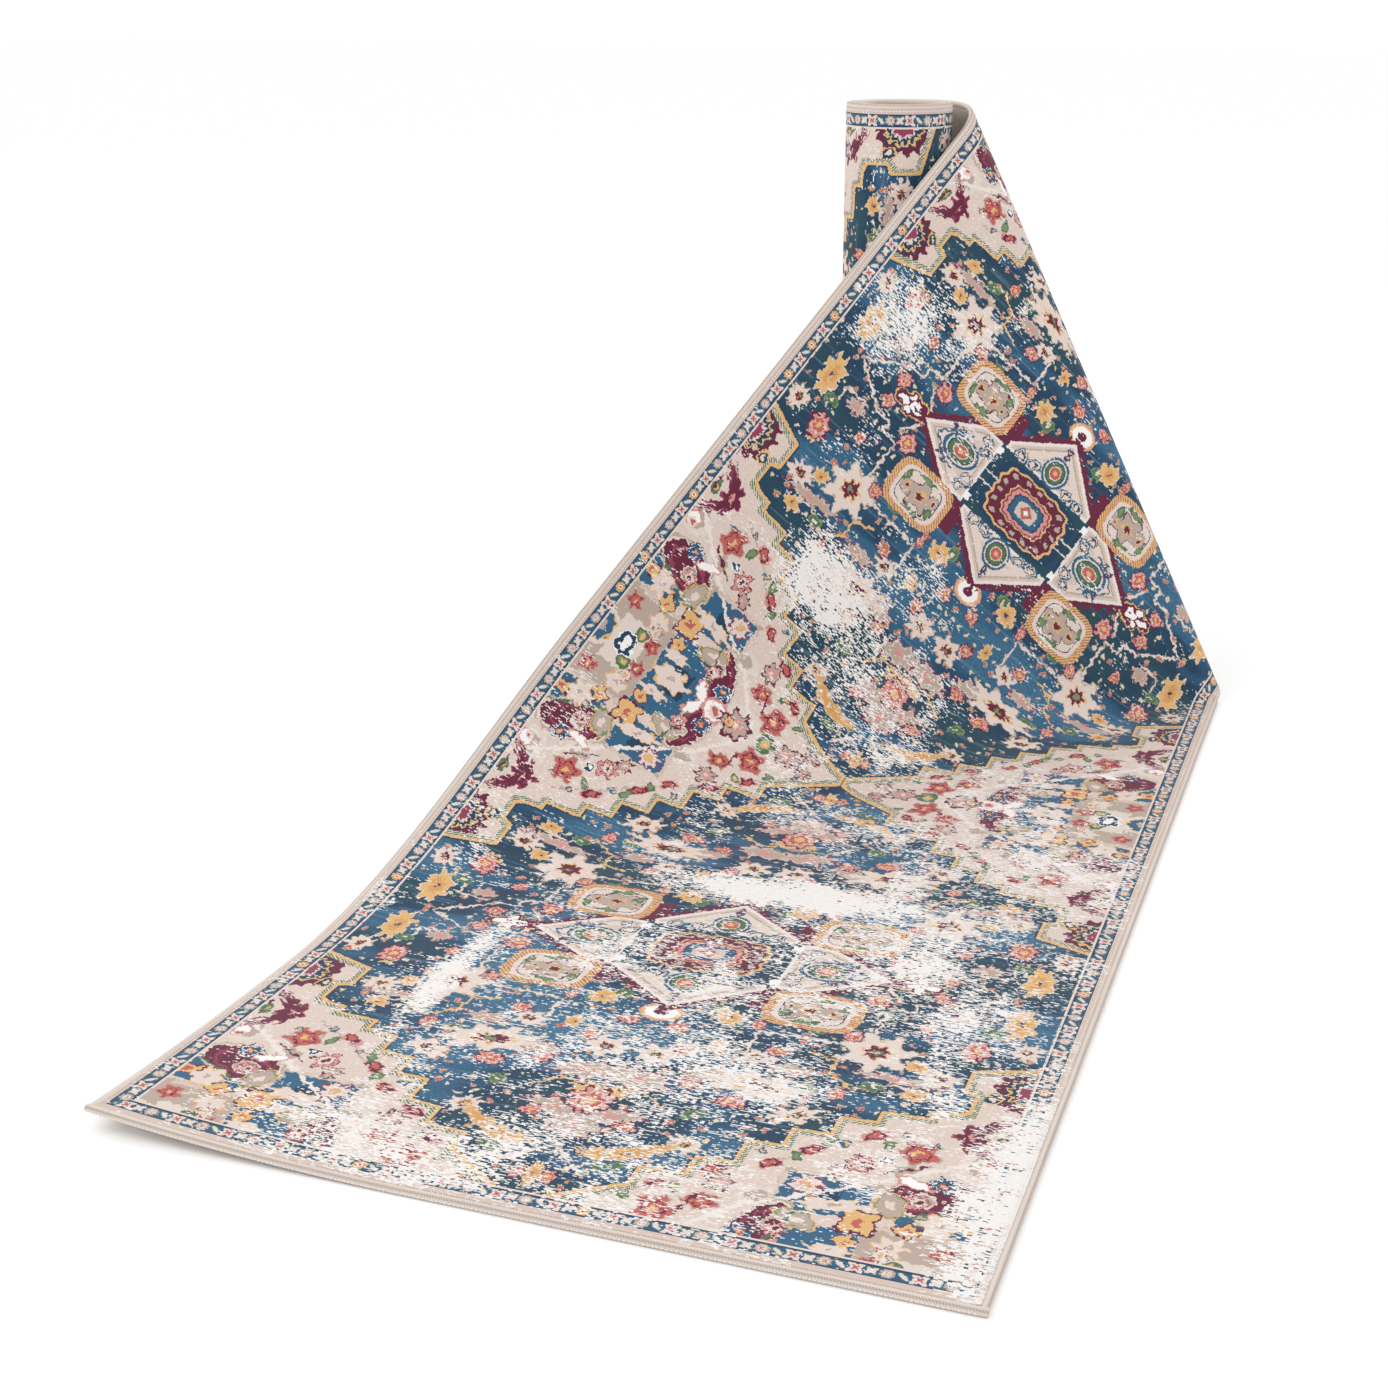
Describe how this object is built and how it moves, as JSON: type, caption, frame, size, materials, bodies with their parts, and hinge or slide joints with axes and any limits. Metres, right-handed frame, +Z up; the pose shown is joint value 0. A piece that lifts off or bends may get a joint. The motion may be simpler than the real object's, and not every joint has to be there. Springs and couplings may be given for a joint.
{
  "type": "runner rug",
  "caption": "Long narrow vintage-style patterned floor runner, shown partly unrolled: front end flat, middle folded over, rear end standing as a roll.",
  "frame": {"origin": "on the floor, at the middle of the whole object's box", "axes": "X across the rug, +Y from the free front end towards the roll, +Z up"},
  "size_m": [0.8028, 1.5544, 0.8],
  "materials": {
    "pile": "low cut pile, dull, distressed pattern",
    "backing": "matt flat-woven felted backing",
    "binding": "overlocked yarn edge, dull",
    "thread": "twisted thread, slight sheen"
  },
  "bodies": {
    "rug_body": {"pile_floor": "pile", "backing_floor": "backing", "right_binding_floor": "binding", "left_binding_floor": "binding", "pile_rise": "pile", "backing_rise": "backing", "right_binding_rise": "binding", "left_binding_rise": "binding", "pile_ridge": "pile", "backing_ridge": "backing", "right_binding_ridge": "binding", "left_binding_ridge": "binding", "pile_outer_turn": "pile", "backing_outer_turn": "backing", "right_binding_outer_turn": "binding", "left_binding_outer_turn": "binding", "pile_inner_turn": "pile", "backing_inner_turn": "backing", "right_binding_inner_turn": "binding", "left_binding_inner_turn": "binding", "rear_hem": "binding", "right_thread_body": "thread", "left_thread_body": "thread"},
    "front_fold": {"pile_front_fold": "pile", "backing_front_fold": "backing", "right_binding_front_fold": "binding", "left_binding_front_fold": "binding", "right_thread_front_fold": "thread", "left_thread_front_fold": "thread"},
    "front_tip": {"pile_front_tip": "pile", "backing_front_tip": "backing", "right_binding_front_tip": "binding", "left_binding_front_tip": "binding", "right_thread_front_tip": "thread", "left_thread_front_tip": "thread", "front_hem": "binding", "front_hem_thread": "thread"}
  },
  "joints": [
    {"name": "front_fold_lift", "type": "hinge", "parent": "rug_body", "child": "front_fold", "pos_m": [0, -0.47724, 0.0068], "axis": [-1, 0, 0], "range_deg": [0, 80]},
    {"name": "front_tip_curl", "type": "hinge", "parent": "front_fold", "child": "front_tip", "pos_m": [0, -0.62724, 0.0068], "axis": [-1, 0, 0], "range_deg": [0, 80]}
  ]
}
